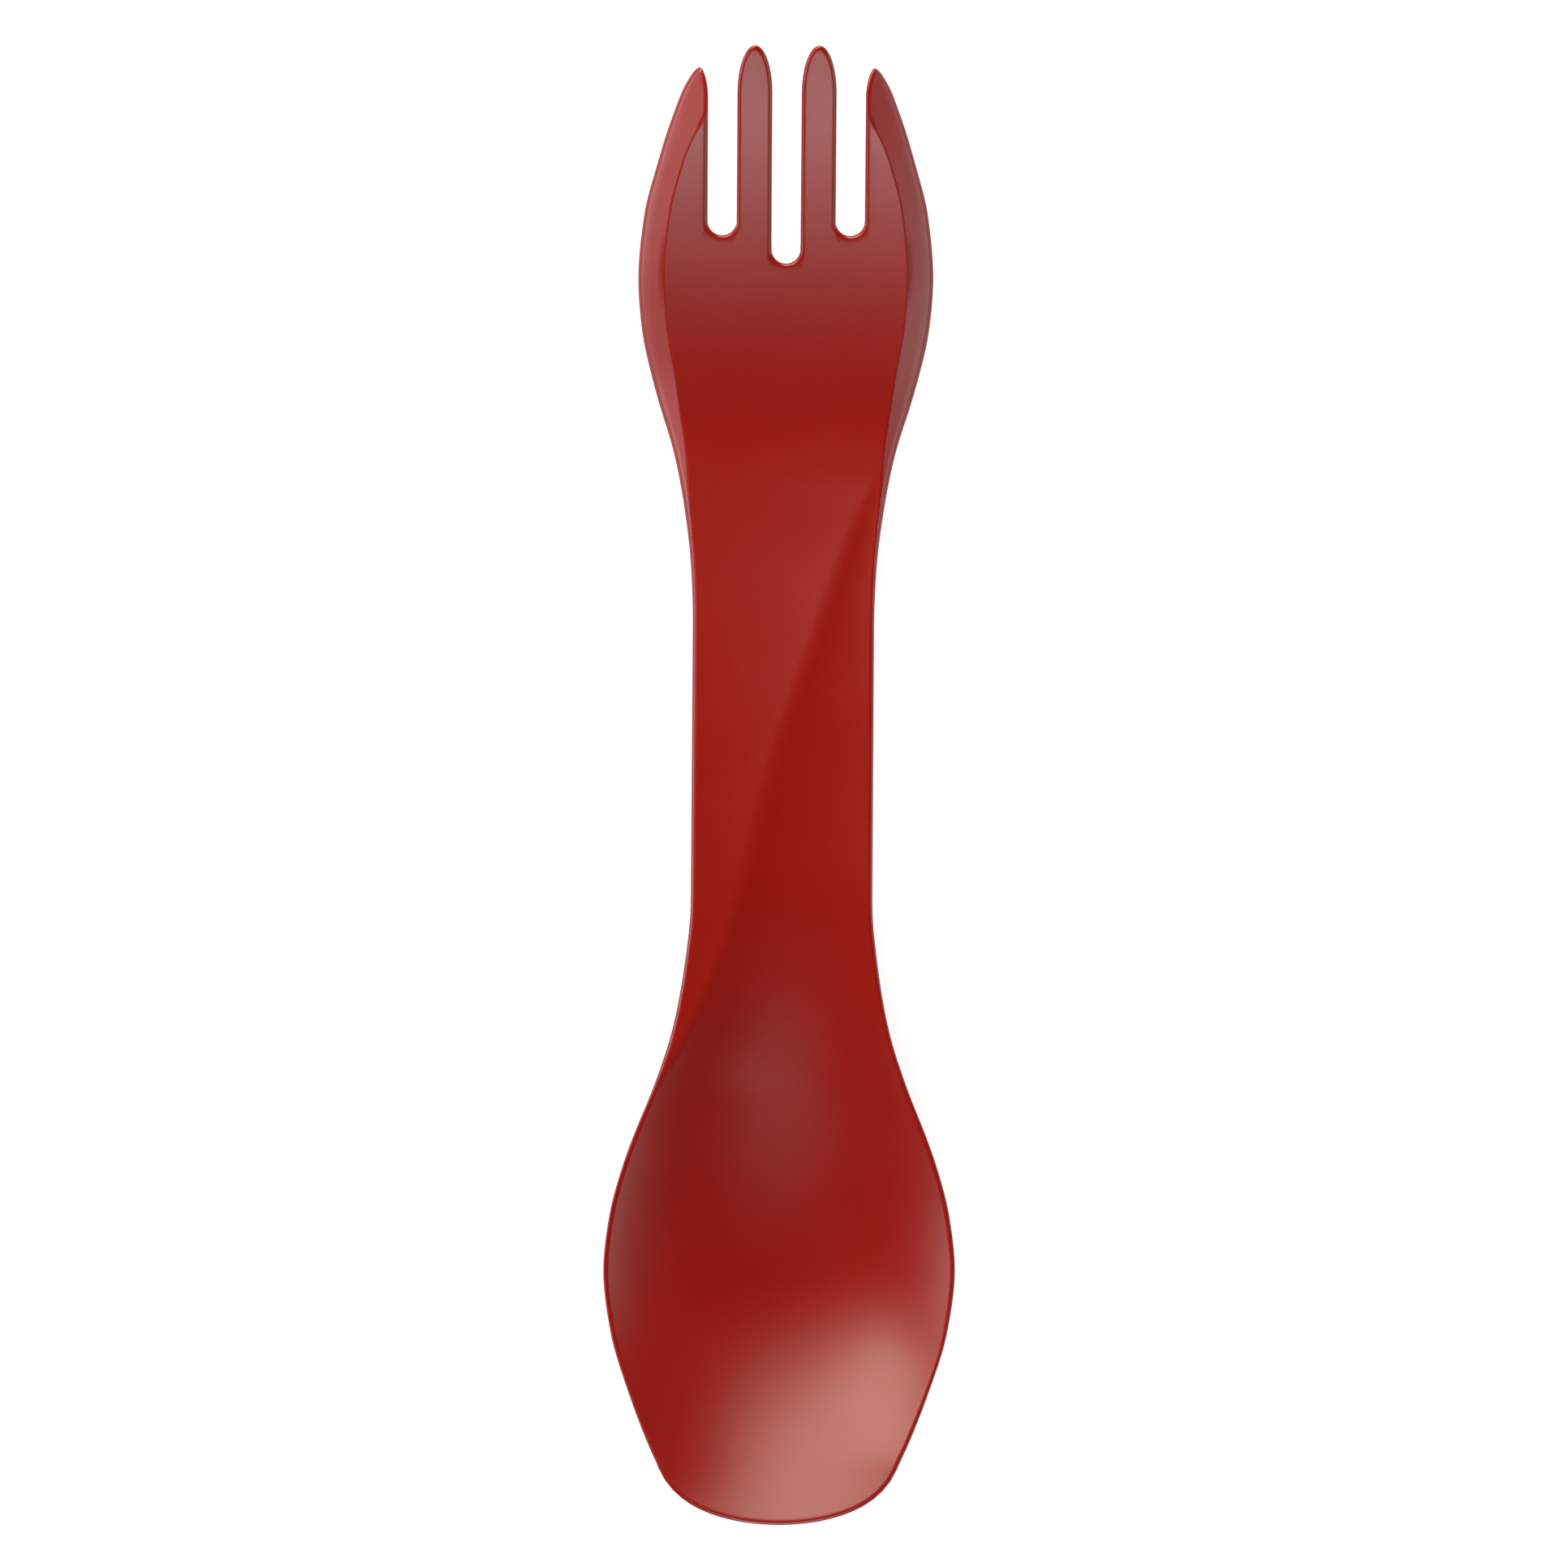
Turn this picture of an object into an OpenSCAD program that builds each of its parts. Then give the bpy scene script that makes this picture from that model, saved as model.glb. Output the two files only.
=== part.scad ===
// One-piece spork: four-tine fork, handle with a diagonal ridge, spoon bowl.
// Length runs along Y with the tines at +Y, and the bowl opens upwards.

/* [Overall] */
// Length from the spoon's lip to the tips of the middle tines
length = 160; // [140:1:180]
// Thickness of the moulding away from its edges
wall = 2.0; // [1.6:0.1:2.6]
// Thickness of the moulding at its edges
rim_wall = 1.5; // [1.3:0.1:1.8]
// Radius that rounds every edge
edge_r = 0.55; // [0.3:0.05:0.6]

/* [Handle] */
// Width of the handle at its waist
handle_w = 19.7; // [16:0.1:24]
// Length of the parallel part of the handle
handle_l = 31; // [20:1:40]
// Distance from the middle of the length to the middle of the parallel part
handle_offset = 2.5; // [0:0.5:6]
// Height of the ridge above a straight line from edge to edge
ridge_h = 0.35; // [0.1:0.05:0.8]
// Height over which the two faces of the ridge blend into each other
ridge_blend = 0.3; // [0.1:0.05:0.6]
// Angle of the channel's side where it meets the ridge
channel_angle = 10; // [6:1:14]

/* [Spoon] */
// Width of the spoon at its widest
spoon_w = 38.2; // [32:0.1:44]
// Distance from the lip to the widest place of the spoon
spoon_belly = 27.5; // [24:0.5:32]
// Depth of the bowl below its rim
bowl_depth = 6.6; // [5:0.1:10]
// How far the bowl runs out into the handle's parallel part
bowl_runout = 7; // [0:0.5:15]
// Length of the rounding at the corners of the lip
lip_round = 4.3; // [3:0.1:6]

/* [Fork] */
// Width of the fork at its widest
fork_w = 32.1; // [29:0.1:36]
// Distance from the middle tips to the widest place of the fork
fork_belly = 25; // [22:0.5:28]
// Width of the two middle tines
tine_w = 3.8; // [3.2:0.1:4.2]
// Width of the slots between the tines
slot_w = 3.15; // [2.6:0.05:3.6]
// Depth of the middle slot from the middle tips
slot_depth = 23.3; // [18:0.1:26]
// How much higher the two outer slots end than the middle one
slot_step = 3; // [1:0.1:5]
// How much shorter the two outer tines are
tine_step = 2.3; // [1:0.1:4]
// Length of the pointed end of a middle tine
point_l = 5; // [3:0.1:7]
// Length of the pointed end of an outer tine
outer_point_l = 3.2; // [2:0.1:5]
// How much thinner a tine is at its tip
point_thinning = 0.4; // [0:0.1:0.6]
// Width of the bevelled band along the outer sides
bevel_w = 2.85; // [2:0.05:3.5]
// Angle of the bevelled band below the panel
bevel_angle = 32; // [20:1:40]
// Angle of the panel's side where it meets the bevelled band
panel_angle = 4; // [2:1:10]

/* [Side view] */
// Height of the rim at the lip
lip_z = 12.1; // [8:0.1:14]
// Height of the rim beside the bowl
rim_z = 9.0; // [8:0.1:12]
// Height of the handle's crown
crown_z = 9.2; // [8:0.1:13]
// Distance from the middle of the length to the lowest place of the fork
low_offset = 39; // [36:1:44]
// Height of the panel's border where the fork is lowest
fork_z = 3.8; // [2.5:0.1:5.5]
// Height of the panel's border at the tips of the middle tines
tip_z = 17.0; // [9:0.1:20]

/* [Hidden] */

// Places along the length
tip_y = length / 2;
lip_y = -length / 2;
bowl_y = lip_y + spoon_belly;
belly_y = tip_y - fork_belly;
handle_lo = handle_offset - handle_l / 2;
handle_hi = handle_offset + handle_l / 2;

// Half widths, and the distance between the middles of two slots
spoon_half = spoon_w / 2;
handle_half = handle_w / 2;
fork_half = fork_w / 2;
slot_r = slot_w / 2;
pitch = slot_w + tine_w;

// Slopes of the faces
bevel_slope = tan(bevel_angle);
panel_slope = tan(panel_angle);
channel_slope = tan(channel_angle);
crease_blend_share = 0.25;

// Outline from the lip to the spoon's widest place: share of the length, share of the half width
lip_shares = [[0, 0.52], [0.2, 0.664], [0.28, 0.717], [0.52, 0.853], [0.76, 0.958], [1, 1]];
// Outlines of the necks, from the handle to the widest places of the spoon and of the fork
spoon_neck_shares = [[0, 0], [0.15, 0.06], [0.33, 0.193], [0.5, 0.423], [0.62, 0.632],
    [0.72, 0.785], [0.85, 0.93], [1, 1]];
fork_neck_shares = [[0, 0], [0.15, 0.035], [0.33, 0.163], [0.5, 0.365], [0.62, 0.592],
    [0.72, 0.76], [0.85, 0.93], [1, 1]];
// Outline from the fork's widest place to the tips
tines_shares = [[0, 1], [0.28, 0.96], [0.5, 0.87], [0.64, 0.805], [0.78, 0.725], [1, 0.6]];
// Width of the bevelled band from the handle to the tips
band_shares = [[0, 0.03], [0.18, 0.18], [0.25, 0.33], [0.32, 0.56], [0.45, 0.95], [0.55, 1],
    [0.8, 0.97], [0.875, 1.23], [1, 1.75]];
// Way of the ridge: share of the parallel length, share of the handle's half width
ridge_shares = [[-1.5, -2.2], [-1.145, -1.4], [-0.968, -1.066], [-0.742, -0.757], [-0.516, -0.51],
    [-0.034, -0.14], [0.448, 0.36], [0.845, 0.81], [1.08, 1.2]];
// Fall of the panel's border from the crown to the lowest place of the fork, and its rise from there
fall_shares = [[0, 0], [0.15, 0.12], [0.6, 0.62], [0.8, 0.86], [1, 1]];
rise_shares = [[0, 0], [0.19, 0.085], [0.35, 0.215], [0.575, 0.455], [1, 1]];

// Knots that run from one place and value to another by a table of shares
function knots(shares, from, to) = [for (s = shares)
    [from[0] + s[0] * (to[0] - from[0]), from[1] + s[1] * (to[1] - from[1])]];
function without_first(list) = [for (i = [1 : len(list) - 1]) list[i]];
function reversed(list) = [for (i = [len(list) - 1 : -1 : 0]) list[i]];

outline = concat(
    knots(lip_shares, [lip_y, 0], [bowl_y, spoon_half]),
    without_first(reversed(knots(spoon_neck_shares, [handle_lo, handle_half], [bowl_y, spoon_half]))),
    knots(fork_neck_shares, [handle_hi, handle_half], [belly_y, fork_half]),
    without_first(knots(tines_shares, [belly_y, 0], [tip_y, fork_half])));
band = knots(band_shares, [handle_hi, 0], [tip_y, bevel_w]);
ridge = knots(ridge_shares, [handle_offset, 0], [handle_offset + handle_l, handle_half]);
border = concat(
    [[lip_y, lip_z], [bowl_y, rim_z]],
    knots(fall_shares, [handle_lo, crown_z], [low_offset, fork_z]),
    without_first(knots(rise_shares, [low_offset, fork_z], [tip_y, tip_z])));

// Smooth curve through knots that never swings past them
function secant(k, i) = (k[i + 1][1] - k[i][1]) / (k[i + 1][0] - k[i][0]);
function tangent(k, i) =
    i == 0 ? secant(k, 0)
    : i == len(k) - 1 ? secant(k, i - 1)
    : let (a = secant(k, i - 1), b = secant(k, i)) a * b <= 0 ? 0 : 2 * a * b / (a + b);
function curve(k, t) =
    let (
        i = max(0, min(len(k) - 2, len([for (p = k) if (p[0] <= t) 1]) - 1)),
        h = k[i + 1][0] - k[i][0],
        u = max(0, min(1, (t - k[i][0]) / h)))
    k[i][1] * (1 + 2 * u) * (1 - u) ^ 2 + k[i + 1][1] * u ^ 2 * (3 - 2 * u)
        + h * u * (1 - u) * (tangent(k, i) * (1 - u) - tangent(k, i + 1) * u);

function mix(a, b, share) = a + (b - a) * share;
// The lower of two heights, with their crossing rounded over a height
function blend_min(a, b, height) = min(a, b) - max(height - abs(a - b), 0) ^ 2 / (4 * height);

// Half of a quarter-round end: 0 at the end, 1 from the given length on
function round_end(distance, run) = distance >= run ? 1 : sqrt(max(0, 1 - (1 - distance / run) ^ 2));
function half_width(y) = curve(outline, y) * round_end(y - lip_y, lip_round);
function band_width(y) = y < handle_hi ? 0 : curve(band, y);

// Depth of the channel right of the ridge, which deepens into the bowl
bowl_power = 1.45;
runout_power = 1.4;
runout_ease = 2.4;
// A power whose start is rounded, so that the bowl has no crease across its deepest place
start_share = 0.2;
function eased(t, power) =
    ((t ^ 2 + start_share ^ 2) ^ (power / 2) - start_share ^ power)
        / ((1 + start_share ^ 2) ^ (power / 2) - start_share ^ power);
function channel_depth(y, width) =
    y < bowl_y ? bowl_depth * (1 - eased((bowl_y - y) / spoon_belly, bowl_power))
    : let (far = min(1, (y - bowl_y) / (handle_lo + bowl_runout - bowl_y)))
        mix(channel_slope * width / 4, bowl_depth, (1 - eased(far, runout_power)) ^ runout_ease);

// A hanging curve between two border heights, over a given width
function hanging(from, to, u, depth) = mix(from, to, u) - 4 * depth * u * (1 - u);

// Upper face, before its edges are rounded
function face(x, y) =
    let (
        edge = band_width(y),
        inner = max(probe, half_width(y) - edge),
        side_z = curve(border, y),
        ridge_x = max(-inner, min(inner, curve(ridge, y))),
        ridge_z = side_z + ridge_h * (1 - (ridge_x / inner) ^ 2),
        panel_w = inner + ridge_x,
        channel_w = inner - ridge_x,
        panel = panel_w <= 0 ? undef
            : hanging(side_z, ridge_z, (x + inner) / panel_w, panel_slope * panel_w / 4),
        channel = channel_w <= 0 ? undef
            : hanging(ridge_z, side_z, (x - ridge_x) / channel_w, channel_depth(y, channel_w)),
        middle = is_undef(panel) ? channel
            : is_undef(channel) ? panel : blend_min(panel, channel, ridge_blend))
    edge <= 0 ? middle
        : blend_min(middle, side_z - (abs(x) - inner) * bevel_slope, ridge_blend * crease_blend_share);

// Columns run along the length. Each tine has seven strips, each slot six.
tine_strips = 7;
slot_strips = 6;
tine_count = 4;
unit_strips = tine_strips + slot_strips;
last = tine_count * unit_strips - slot_strips;
centre = last / 2;
// Distances from an edge of the lines that carry its rounding
round_shares = [0, 0.29, 1];
crease_share = 1.6;

function tine_of(j) = floor(j / unit_strips);
function in_slot(j) = j % unit_strips > tine_strips;
function slot_x(i) = (i - (tine_count - 2) / 2) * pitch;
function slot_y(i) = tip_y - slot_depth + slot_r + slot_step * abs(slot_x(i)) / pitch;
function is_outer(t) = t == 0 || t == tine_count - 1;
function tine_tip(t) = is_outer(t) ? tip_y - tine_step : tip_y;
function tine_point(t) = is_outer(t) ? outer_point_l : point_l;

// Left and right side of a tine at a height, narrowed towards its tip
function tine_sides(t, y) =
    let (
        l = t == 0 ? -half_width(y) : slot_x(t - 1) + slot_r,
        r = t == tine_count - 1 ? half_width(y) : slot_x(t) - slot_r,
        narrowed = round_end(tine_tip(t) - y, tine_point(t)) / 2,
        m = (l + r) / 2)
    [m - (r - l) * narrowed, m + (r - l) * narrowed];

// Distances of the columns from one side of a strip of tine
function tine_places(width, crease) =
    let (r = min(edge_r, width / 4), c = max(crease_share * r, min(crease, width - 2 * r)))
    [0, r * round_shares[1], r, c, (c + width - r) / 2, width - r, width - r * round_shares[1], width];

function tine_x(t, k, y) =
    let (
        s = tine_sides(t, y),
        width = s[1] - s[0],
        crease = is_outer(t) ? band_width(y) : width / 3)
    t == tine_count - 1 ? s[1] - tine_places(width, crease)[tine_strips - k]
        : s[0] + tine_places(width, crease)[k];

// Column on a straight row across handle or spoon
function body_x(j, y) =
    let (
        k = min(j, last - j),
        side = j < centre ? -1 : 1,
        w = half_width(y),
        r = min(edge_r, w / 4),
        inner = w - max(band_width(y), crease_share * r))
    k < len(round_shares) ? side * (w - r * round_shares[k])
        : inner * (j - centre) / (centre - len(round_shares));

// Line on which the tines begin and the slots' round ends have their middles
function root_y(x) =
    let (far = min(1, abs(x) / pitch)) mix(slot_y((tine_count - 2) / 2), slot_y(0), far);
function root_point(j) =
    let (t = tine_of(j), k = j % unit_strips)
    in_slot(j)
        ? let (a = 180 - 180 * (k - tine_strips) / slot_strips)
            [slot_x(t) + slot_r * cos(a), slot_y(t) - slot_r * sin(a)]
        : let (x = tine_x(t, k, root_y(pitch))) [x, root_y(x)];

// Rows: lip, bowl, neck, handle, neck
lip_angles = [8, 20, 34, 48, 62, 76];
function stretch(from, to, count) = [for (i = [0 : count - 1]) mix(from, to, i / count)];
bend_l = 6;
base_y = tip_y - slot_depth - bend_l;
body_rows = concat(
    [for (a = lip_angles) lip_y + lip_round * (1 - cos(a))],
    stretch(lip_y + lip_round, bowl_y, 9),
    stretch(bowl_y, handle_lo, 12),
    stretch(handle_lo, handle_hi, 7),
    stretch(handle_hi, base_y, 11),
    [base_y]);
// Rows that bend round the slots, by their distance from the root line
bend_shares = [0.72, 0.46, 0.22];
bend_rows = len(bend_shares) + len(round_shares);
// Rows up the tines: the straight part, then the point
shaft_rows = 7;
point_angles = [14, 28, 42, 56, 70, 84];
rows = len(body_rows) + bend_rows + shaft_rows + len(point_angles);
root_row = len(body_rows) + bend_rows - 1;

// How far the outline bulges past a straight line from the last straight row to the tines' feet
function bulge(p) =
    let (
        foot_y = slot_y(0),
        straight = mix(half_width(base_y), half_width(foot_y), (p[1] - base_y) / (foot_y - base_y)),
        start = pitch + slot_r)
    [sign(p[0]) * (half_width(p[1]) - straight) * max(0, (abs(p[0]) - start) / (straight - start)), 0];

function bend_point(j, i) =
    let (
        b = root_point(j),
        run = [body_x(j, base_y), base_y] - b,
        back = i < len(bend_shares) ? bend_shares[i]
            : edge_r * round_shares[bend_rows - 1 - i] / norm(run),
        p = b + run * back)
    p + bulge(p);

function shaft_point(j, i) =
    let (
        t = tine_of(j),
        start = root_point(j)[1],
        neck = tine_tip(t) - tine_point(t),
        y = i <= shaft_rows ? mix(start, neck, i / shaft_rows)
            : neck + tine_point(t) * sin(point_angles[i - shaft_rows - 1]))
    [tine_x(t, j % unit_strips, y), y];

function plan_point(i, j) =
    i < len(body_rows) ? [body_x(j, body_rows[i]), body_rows[i]]
    : i <= root_row ? bend_point(j, i - len(body_rows))
    : in_slot(j) ? root_point(j) : shaft_point(j, i - root_row);

// Distance from a point to the nearer side of a strip
probe = 0.05;
function side_gap(x, now, before) =
    let (
        l = x - now[0],
        r = now[1] - x,
        along = (l * (now[1] - before[1]) - r * (now[0] - before[0])) / probe)
    max(0, l * r) / max(norm([r - l, along]), probe);
function body_sides(y) = let (w = half_width(y)) [-w, w];
function slot_gap(p) = min([for (i = [0 : tine_count - 2])
    p[1] > slot_y(i) ? abs(p[0] - slot_x(i)) - slot_r : norm(p - [slot_x(i), slot_y(i)]) - slot_r]);
function edge_gap(p, i, j) =
    i > root_row
        ? let (t = tine_of(j), y = p[1]) side_gap(p[0], tine_sides(t, y), tine_sides(t, y - probe))
        : min(side_gap(p[0], body_sides(p[1]), body_sides(p[1] - probe * sign(p[1] - bowl_y))),
            max(0, slot_gap(p)));

// Thickness grows from the edges inwards, and falls towards a tine's tip
growth_l = 4;
thinning_l = 2.5;
function thinning(p, i, j) = i <= root_row ? 0
    : point_thinning * max(0, 1 - (tine_tip(tine_of(j)) - p[1]) / thinning_l) ^ 2;
function thickness(gap) = mix(rim_wall, wall, min(1, gap / growth_l));

// How far a face turns in towards the middle of the wall near an edge
function rounding(gap, r) = gap >= r ? 0 : r - sqrt(r ^ 2 - (r - gap) ^ 2);
steepest = 1.4;
function steepness(x, y) =
    let (
        dx = (face(x + probe, y) - face(x - probe, y)) / (2 * probe),
        dy = (face(x, y + probe) - face(x, y - probe)) / (2 * probe))
    min(steepest, norm([1, dx, dy]));

// Upper and lower height of the moulding at a plan point
edge_fill_share = 0.45;
function heights(i, j) =
    let (
        p = plan_point(i, j),
        gap = edge_gap(p, i, j),
        t = thickness(gap) - thinning(p, i, j),
        top = face(p[0], p[1]) - thinning(p, i, j),
        inward = rounding(gap, min(edge_r, edge_fill_share * t)))
    [top - inward, top - t * steepness(p[0], p[1]) + inward];

grid = [for (i = [0 : rows - 1]) [for (j = [0 : last]) concat(plan_point(i, j), heights(i, j))]];
columns = last + 1;
floor_z = min([for (row = grid) min([for (p = row) p[3]])]);

function solid(i, j) = i >= 0 && i < rows - 1 && j >= 0 && j < last
    && !(i >= root_row && j % unit_strips >= tine_strips);
function upper(i, j) = i * columns + j;
function lower(i, j) = upper(i, j) + rows * columns;

module spork() {
    color("firebrick") polyhedron(
        points = concat(
            [for (row = grid) for (p = row) [p[0], p[1], p[2] - floor_z]],
            [for (row = grid) for (p = row) [p[0], p[1], p[3] - floor_z]]),
        faces = [for (i = [0 : rows - 2]) for (j = [0 : last - 1]) if (solid(i, j)) each concat(
            [[upper(i, j), upper(i + 1, j), upper(i + 1, j + 1)],
                [upper(i, j), upper(i + 1, j + 1), upper(i, j + 1)],
                [lower(i, j), lower(i + 1, j + 1), lower(i + 1, j)],
                [lower(i, j), lower(i, j + 1), lower(i + 1, j + 1)]],
            solid(i, j - 1) ? [] : edge_wall([i, j], [i + 1, j]),
            solid(i, j + 1) ? [] : edge_wall([i + 1, j + 1], [i, j + 1]),
            solid(i - 1, j) ? [] : edge_wall([i, j + 1], [i, j]),
            solid(i + 1, j) ? [] : edge_wall([i + 1, j], [i + 1, j + 1]))]);
}

// Two triangles that close the wall along one side of a cell
function edge_wall(a, b) = [
    [lower(a[0], a[1]), lower(b[0], b[1]), upper(b[0], b[1])],
    [lower(a[0], a[1]), upper(b[0], b[1]), upper(a[0], a[1])]];

spork();
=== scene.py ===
"""Dresses a one-piece plastic spork: four-tine fork, handle with a diagonal ridge, spoon bowl.

Every length is in metres, in the model's own frame: the tines point along +Y
and the bowl opens upwards. A flat sheet is laid out along the spork's edges,
Geometry Nodes raise it and give it its wall, and a satin plastic covers it.
"""

import math

import bpy
import numpy as np
from bpy.props import FloatProperty, FloatVectorProperty, PointerProperty
from mathutils import Matrix, Vector


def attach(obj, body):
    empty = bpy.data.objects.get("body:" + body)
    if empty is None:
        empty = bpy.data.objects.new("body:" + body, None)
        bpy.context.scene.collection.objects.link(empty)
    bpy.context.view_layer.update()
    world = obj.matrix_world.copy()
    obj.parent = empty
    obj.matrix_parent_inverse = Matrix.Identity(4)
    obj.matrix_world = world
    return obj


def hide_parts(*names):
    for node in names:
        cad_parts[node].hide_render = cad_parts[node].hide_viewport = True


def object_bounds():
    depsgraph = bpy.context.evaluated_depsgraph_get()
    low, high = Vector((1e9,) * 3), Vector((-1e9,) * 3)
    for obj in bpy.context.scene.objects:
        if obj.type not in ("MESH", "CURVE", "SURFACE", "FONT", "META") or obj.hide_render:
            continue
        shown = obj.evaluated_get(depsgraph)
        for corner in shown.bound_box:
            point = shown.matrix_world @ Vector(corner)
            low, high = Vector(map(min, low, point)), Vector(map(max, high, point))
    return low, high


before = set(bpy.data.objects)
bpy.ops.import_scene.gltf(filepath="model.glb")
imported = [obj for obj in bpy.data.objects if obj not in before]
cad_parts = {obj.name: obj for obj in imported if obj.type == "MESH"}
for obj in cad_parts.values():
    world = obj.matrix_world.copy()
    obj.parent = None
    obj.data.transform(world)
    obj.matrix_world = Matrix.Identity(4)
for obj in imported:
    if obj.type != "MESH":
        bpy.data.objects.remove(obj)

bl_info = {
    "name": "One-piece spork",
    "version": (1, 0, 0),
    "blender": (4, 5, 0),
    "location": "3D View > Sidebar > Spork",
    "description": "Builds a spork's moulding, its satin plastic and a white studio",
    "category": "Add Mesh",
}

CAD_BOX = [list(corner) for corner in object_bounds()]
MM = 0.001

# Outline from the lip to the spoon's widest place: share of the length, share of the half width
LIP_SHARES = [
    (0, 0.652), (0.11, 0.638), (0.2, 0.662), (0.28, 0.717), (0.52, 0.853), (0.76, 0.958), (1, 1),
]
# Outlines of the necks, from the handle to the widest places of the spoon and of the fork
SPOON_NECK_SHARES = [
    (0, 0), (0.15, 0.06), (0.33, 0.193), (0.5, 0.423), (0.62, 0.632), (0.72, 0.785), (0.85, 0.93),
    (1, 1),
]
FORK_NECK_SHARES = [
    (0, 0), (0.15, 0.035), (0.33, 0.163), (0.5, 0.365), (0.62, 0.592), (0.72, 0.76), (0.85, 0.93),
    (1, 1),
]
# Outline from the fork's widest place to the tips
TINES_SHARES = [(0, 1), (0.28, 0.96), (0.5, 0.87), (0.64, 0.805), (0.78, 0.725), (1, 0.6)]
# Width of the bevelled band from the handle to the tips
BAND_SHARES = [
    (0, 0.03), (0.18, 0.18), (0.25, 0.33), (0.32, 0.56), (0.45, 0.95), (0.55, 1),
    (0.8, 0.97), (0.875, 1.23), (1, 1.75),
]
# Way of the ridge: share of the parallel length, share of the handle's half width
RIDGE_SHARES = [
    (-1.5, -2.2), (-1.145, -1.4), (-0.968, -1.066), (-0.742, -0.757), (-0.516, -0.51),
    (-0.034, -0.14), (0.448, 0.36), (0.845, 0.81), (1.08, 1.2), (1.4, 1.7),
]
# Side view: fall of the panel's border from the crown to the fork's lowest place, and its rise
FALL_SHARES = [(0, 0), (0.15, 0.12), (0.6, 0.62), (0.8, 0.86), (1, 1)]
RISE_SHARES = [(0, 0), (0.19, 0.085), (0.35, 0.215), (0.575, 0.455), (1, 1)]

# How far the curves through these shares are softened along the length, how many times that far
# the softening looks to each side, and at how many places a curve is worked out
OUTLINE_SOFTENING = 1.0 * MM
HEIGHT_SOFTENING = 2.2 * MM
SOFTENING_REACH = 3
CURVE_SAMPLES = 4001

# Power of the fall of the bowl's depth towards the lip, and the two of its run-out to the handle
BOWL_POWER = 1.45
RUNOUT_POWER = 1.4
RUNOUT_EASE = 2.4
# Share of a power's way over which its start is rounded, so that no crease crosses the bowl
START_SHARE = 0.2
# Crease between the panel and the bevelled band: its rounding, as a share of the ridge's
CREASE_BLEND_SHARE = 0.25
# Most that the rounding of one edge takes of the wall's thickness
EDGE_FILL_SHARE = 0.45
# Most that a plumb line through a sloping wall counts as longer, and how far off slopes are read
STEEPEST = 1.4
STEEPNESS_REACH = 0.9 * MM
# Step that shows how an outline runs on, and the least width that is divided by
PROBE = 0.05 * MM
# How far the sheet is first lifted, before each face gets its height, and how near corners join
LIFT = 1 * MM
JOIN_DISTANCE = 0.0001 * MM

# The tines, and the slots between them, are counted from the left
TINE_COUNT = 4
OUTER_TINES = (0, TINE_COUNT - 1)
MIDDLE_SLOT = TINE_COUNT // 2 - 1

# Lines of the sheet: over an edge's rounding, across the band, at the crease, across the rest
ROUNDING_SHARES = 1 - np.cos(np.radians(np.linspace(0, 90, 7)))
BAND_LINES = 2
CREASE_OFFSETS = np.array([-1.6, -1, 0, 1, 1.6]) * 0.11 * MM
PANEL_LINES = 2
# Most that one edge's rounding takes of a width, and how many such radii the crease keeps off
ROUNDING_LIMIT = 0.25
CREASE_CLEARANCE = 1.6
# Where a middle tine, which has no band, has the lines of the crease, as a share of its width
MIDDLE_CREASE_SHARE = 1 / 3
# Strips across a tine, round a slot's end and across the whole sheet, and the lines between them
TINE_STRIPS = 2 * len(ROUNDING_SHARES) + BAND_LINES + len(CREASE_OFFSETS) + PANEL_LINES - 1
SLOT_STRIPS = 16
UNIT_STRIPS = TINE_STRIPS + SLOT_STRIPS
STRIPS = TINE_COUNT * UNIT_STRIPS - SLOT_STRIPS
LINES = STRIPS + 1
# Number of the middle line, and how many lines lie from an edge to past the crease
CENTRE = STRIPS // 2
SIDE_LINES = len(ROUNDING_SHARES) + BAND_LINES + len(CREASE_OFFSETS)

# Rows of the sheet: angles round the lip and the points, and how many rows each stretch has
LIP_ANGLES = np.radians([2, 5, 8, 12, 16, 20, 25, 30, 36, 43, 50, 58, 67, 78])
POINT_ANGLES = np.radians([10, 20, 30, 39, 47, 54, 60, 65, 69, 73, 77, 80, 83, 86])
BOWL_ROWS, SPOON_NECK_ROWS, HANDLE_ROWS, FORK_NECK_ROWS = 28, 40, 38, 26
SHAFT_ROWS = 32
# Stretch over which straight rows bend to the slots' ends, and how straight each one still is
BEND_LENGTH = 6 * MM
BEND_SHARES = np.linspace(1, 0.1, 13)[1:]


def length(name, description, default, low, high):
    """A length that a user may change, shown in the scene's unit."""
    return FloatProperty(
        name=name, description=description, default=default * MM, min=low * MM, max=high * MM,
        unit="LENGTH", precision=5,
    )


def lamp_power(name, lamp, default):
    """The power of a lamp that a user may change."""
    return FloatProperty(
        name=name, description=f"Power of {lamp}", default=default, min=0, unit="POWER",
    )


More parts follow.
